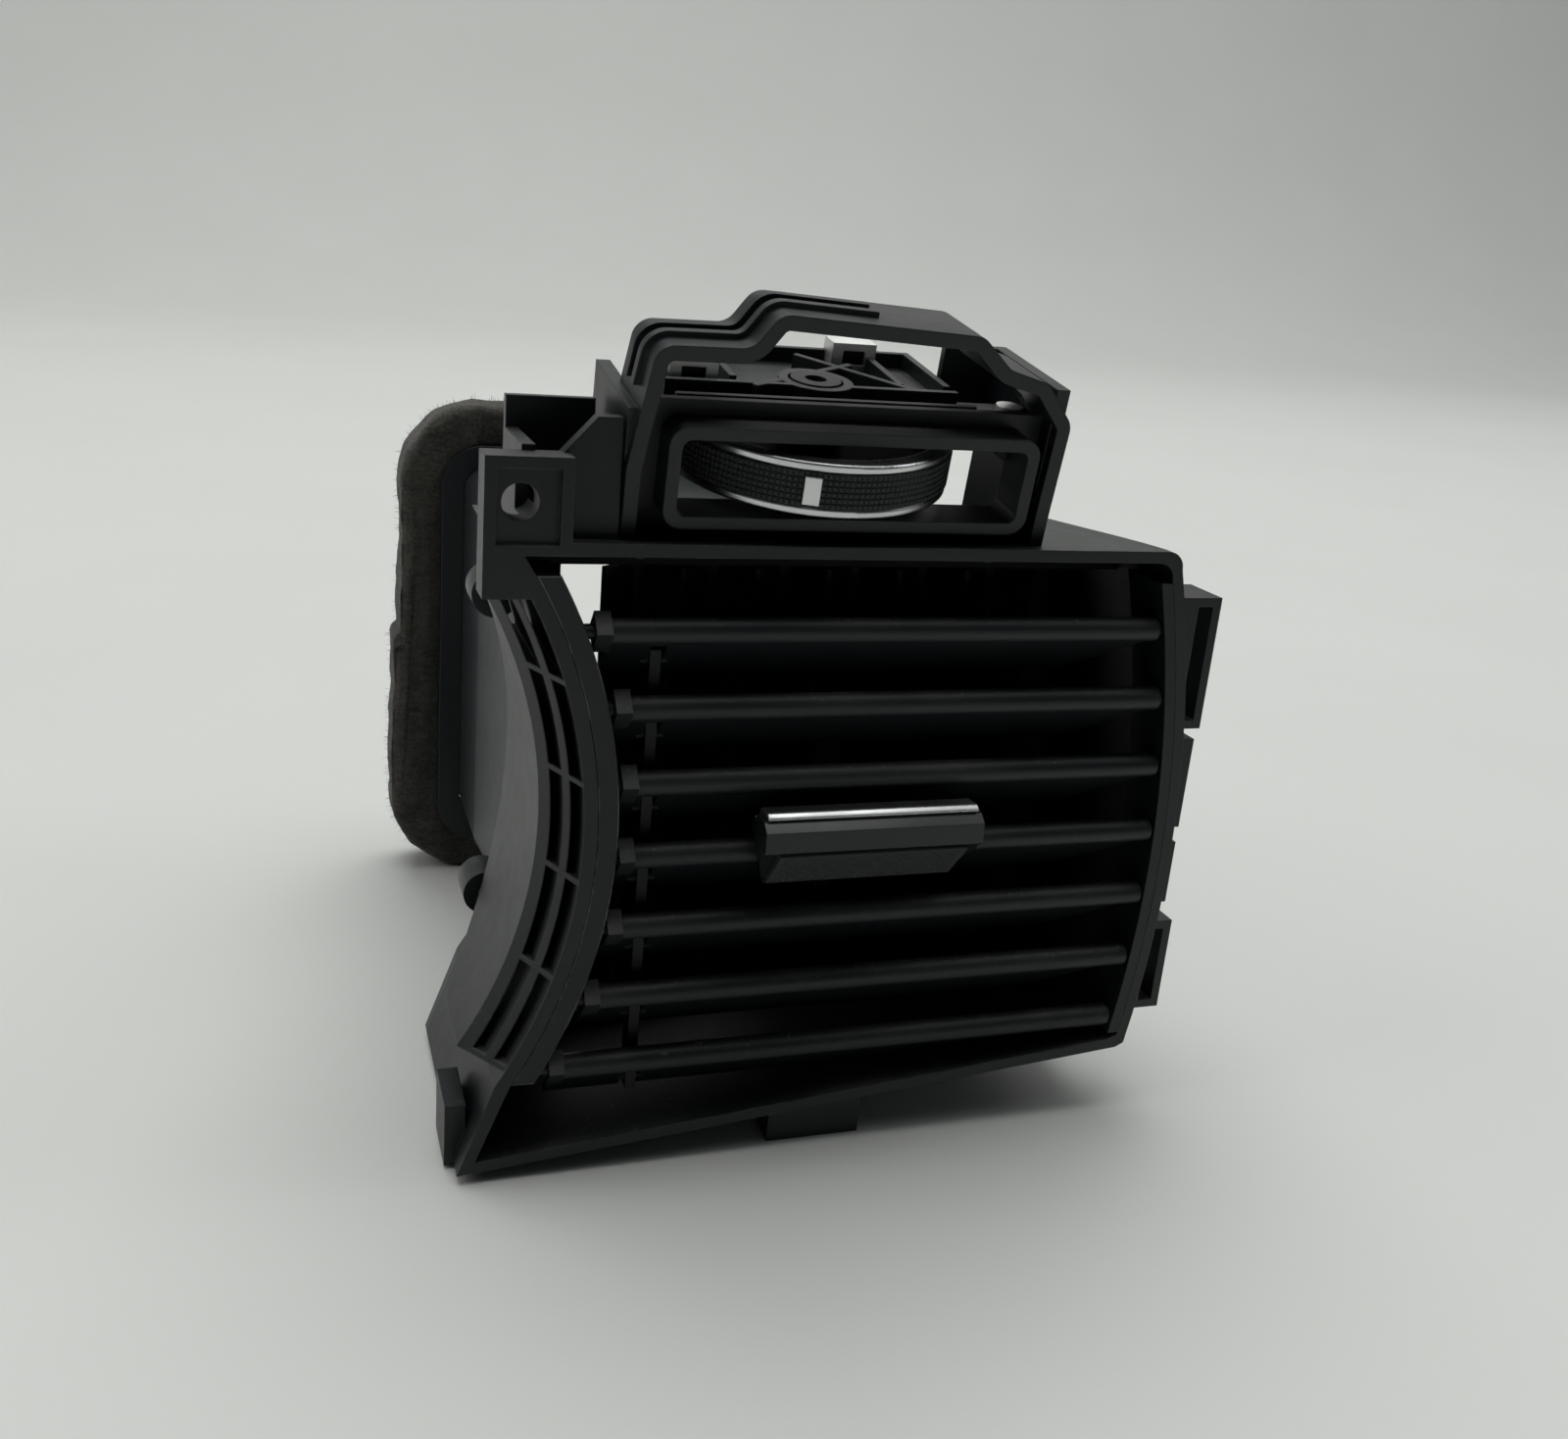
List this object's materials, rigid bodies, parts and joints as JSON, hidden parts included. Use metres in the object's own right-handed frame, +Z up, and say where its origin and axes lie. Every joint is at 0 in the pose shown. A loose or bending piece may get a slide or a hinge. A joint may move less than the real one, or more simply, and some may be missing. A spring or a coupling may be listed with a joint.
{
  "type": "dashboard air vent",
  "caption": "Dashboard air vent with horizontal vanes, upright vanes behind, slider knob, thumbwheel shut-off flap and felt-sealed rear duct.",
  "frame": {"origin": "middle of the footprint, on the surface that the vent stands on", "axes": "+Z up, +Y rearwards along the air duct, +X to the right seen from the front"},
  "size_m": [0.133, 0.1464, 0.1457],
  "materials": {
    "case_plastic": "moulded, fine texture",
    "vane_plastic": "satin moulded",
    "knob_gloss": "smooth satin",
    "soft_grip": "knurled soft touch",
    "satin_chrome": "satin plated",
    "zinc_steel": "zinc plated",
    "felt": "needled felt strip",
    "lip_rubber": "moulded lip"
  },
  "bodies": {
    "housing": {"front_case": "case_plastic", "left_carrier": "vane_plastic", "right_carrier": "vane_plastic", "top_comb": "vane_plastic", "bottom_comb": "vane_plastic", "control_bracket": "case_plastic", "wheel_bridge": "case_plastic", "spring_clips": "zinc_steel", "wheel_axle": "zinc_steel", "axle_clip": "zinc_steel", "bridge_screws": "zinc_steel", "bracket_screws": "zinc_steel", "rear_duct": "case_plastic", "case_screws": "zinc_steel", "duct_collar": "case_plastic", "duct_seal": "felt"},
    "vane_1": {"front_vane_1": "vane_plastic"},
    "vane_2": {"front_vane_2": "vane_plastic"},
    "vane_3": {"front_vane_3": "vane_plastic"},
    "vane_4": {"front_vane_4": "vane_plastic"},
    "vane_5": {"front_vane_5": "vane_plastic"},
    "vane_6": {"front_vane_6": "vane_plastic"},
    "vane_7": {"front_vane_7": "vane_plastic"},
    "vane_bar": {"front_link": "vane_plastic"},
    "slider": {"slider_body": "knob_gloss", "slider_trim": "satin_chrome", "slider_grip": "soft_grip", "slider_fork": "vane_plastic", "slider_spring": "zinc_steel"},
    "upright_1": {"rear_vane_1": "vane_plastic"},
    "upright_2": {"rear_vane_2": "vane_plastic"},
    "upright_3": {"rear_vane_3": "vane_plastic"},
    "upright_4": {"rear_vane_4": "vane_plastic"},
    "upright_5": {"rear_vane_5": "vane_plastic"},
    "upright_6": {"rear_vane_6": "vane_plastic"},
    "upright_bar": {"rear_link": "vane_plastic"},
    "wheel": {"wheel_core": "vane_plastic", "wheel_grip": "soft_grip", "wheel_ring_top": "satin_chrome", "wheel_ring_bottom": "satin_chrome", "wheel_marker": "satin_chrome"},
    "flap": {"flap_door": "vane_plastic", "flap_shaft": "vane_plastic", "flap_seal": "lip_rubber", "flap_crank": "vane_plastic", "rod_clip": "zinc_steel"},
    "rod": {"control_rod": "vane_plastic"}
  },
  "joints": [
    {"name": "vane_4_tilt", "type": "hinge", "parent": "housing", "child": "vane_4", "pos_m": [0, -0.0648, 0.057], "axis": [1, 0, 0], "range_deg": [-7, 63]},
    {"name": "vane_1_tilt", "type": "hinge", "parent": "housing", "child": "vane_1", "pos_m": [0, -0.0648, 0.0945], "axis": [1, 0, 0], "range_deg": [-7, 63]},
    {"name": "vane_2_tilt", "type": "hinge", "parent": "housing", "child": "vane_2", "pos_m": [0, -0.0648, 0.082], "axis": [1, 0, 0], "range_deg": [-7, 63]},
    {"name": "vane_3_tilt", "type": "hinge", "parent": "housing", "child": "vane_3", "pos_m": [0, -0.0648, 0.0695], "axis": [1, 0, 0], "range_deg": [-7, 63]},
    {"name": "vane_5_tilt", "type": "hinge", "parent": "housing", "child": "vane_5", "pos_m": [0, -0.0648, 0.0445], "axis": [1, 0, 0], "range_deg": [-7, 63]},
    {"name": "vane_6_tilt", "type": "hinge", "parent": "housing", "child": "vane_6", "pos_m": [0, -0.0648, 0.032], "axis": [1, 0, 0], "range_deg": [-7, 63]},
    {"name": "vane_7_tilt", "type": "hinge", "parent": "housing", "child": "vane_7", "pos_m": [0, -0.0648, 0.0195], "axis": [1, 0, 0], "range_deg": [-7, 63]},
    {"name": "vane_bar_pivot", "type": "hinge", "parent": "vane_4", "child": "vane_bar", "pos_m": [-0.035, -0.05945, 0.05105], "axis": [1, 0, 0], "range_deg": [-63, 7]},
    {"name": "slider_slide", "type": "slide", "parent": "vane_4", "child": "slider", "axis": [1, 0, 0], "range_m": [0, 0.01051]},
    {"name": "upright_1_swing", "type": "hinge", "parent": "housing", "child": "upright_1", "pos_m": [-0.0344, -0.0428, 0.06], "axis": [0, 0, 1], "range_deg": [0, 84.5]},
    {"name": "upright_2_swing", "type": "hinge", "parent": "housing", "child": "upright_2", "pos_m": [-0.0215, -0.0428, 0.06], "axis": [0, 0, 1], "range_deg": [0, 84.5]},
    {"name": "upright_3_swing", "type": "hinge", "parent": "housing", "child": "upright_3", "pos_m": [-0.0086, -0.0428, 0.06], "axis": [0, 0, 1], "range_deg": [0, 84.5]},
    {"name": "upright_4_swing", "type": "hinge", "parent": "housing", "child": "upright_4", "pos_m": [0.0043, -0.0428, 0.06], "axis": [0, 0, 1], "range_deg": [0, 84.5]},
    {"name": "upright_5_swing", "type": "hinge", "parent": "housing", "child": "upright_5", "pos_m": [0.0172, -0.0428, 0.06], "axis": [0, 0, 1], "range_deg": [0, 84.5]},
    {"name": "upright_6_swing", "type": "hinge", "parent": "housing", "child": "upright_6", "pos_m": [0.0301, -0.0428, 0.06], "axis": [0, 0, 1], "range_deg": [0, 84.5]},
    {"name": "upright_bar_pivot", "type": "hinge", "parent": "upright_3", "child": "upright_bar", "pos_m": [-0.00127, -0.03757, 0.0259], "axis": [0, 0, 1], "range_deg": [-84.5, 0]},
    {"name": "wheel_turn", "type": "hinge", "parent": "housing", "child": "wheel", "pos_m": [-0.0074, -0.0457, 0.1215], "axis": [0, 0.1736, -0.9848], "range_deg": [0, 118]},
    {"name": "flap_swing", "type": "hinge", "parent": "housing", "child": "flap", "pos_m": [0.009, 0.0342, 0.06], "axis": [0, 0, -1], "range_deg": [0, 118]},
    {"name": "rod_pivot", "type": "hinge", "parent": "flap", "child": "rod", "pos_m": [0.01435, 0.04015, 0.111], "axis": [0, 0, -1], "range_deg": [-118, 0]}
  ],
  "couplings": [
    {"joint": "vane_1_tilt", "follows": "vane_4_tilt", "ratio": 1},
    {"joint": "vane_2_tilt", "follows": "vane_4_tilt", "ratio": 1},
    {"joint": "vane_3_tilt", "follows": "vane_4_tilt", "ratio": 1},
    {"joint": "vane_5_tilt", "follows": "vane_4_tilt", "ratio": 1},
    {"joint": "vane_6_tilt", "follows": "vane_4_tilt", "ratio": 1},
    {"joint": "vane_7_tilt", "follows": "vane_4_tilt", "ratio": 1},
    {"joint": "vane_bar_pivot", "follows": "vane_4_tilt", "ratio": -1},
    {"joint": "upright_1_swing", "follows": "slider_slide", "rad_per_m": 140.28},
    {"joint": "upright_2_swing", "follows": "slider_slide", "rad_per_m": 140.28},
    {"joint": "upright_3_swing", "follows": "slider_slide", "rad_per_m": 140.28},
    {"joint": "upright_4_swing", "follows": "slider_slide", "rad_per_m": 140.28},
    {"joint": "upright_5_swing", "follows": "slider_slide", "rad_per_m": 140.28},
    {"joint": "upright_6_swing", "follows": "slider_slide", "rad_per_m": 140.28},
    {"joint": "upright_bar_pivot", "follows": "slider_slide", "rad_per_m": -140.28},
    {"joint": "flap_swing", "follows": "wheel_turn", "ratio": 1},
    {"joint": "rod_pivot", "follows": "wheel_turn", "ratio": -1}
  ]
}
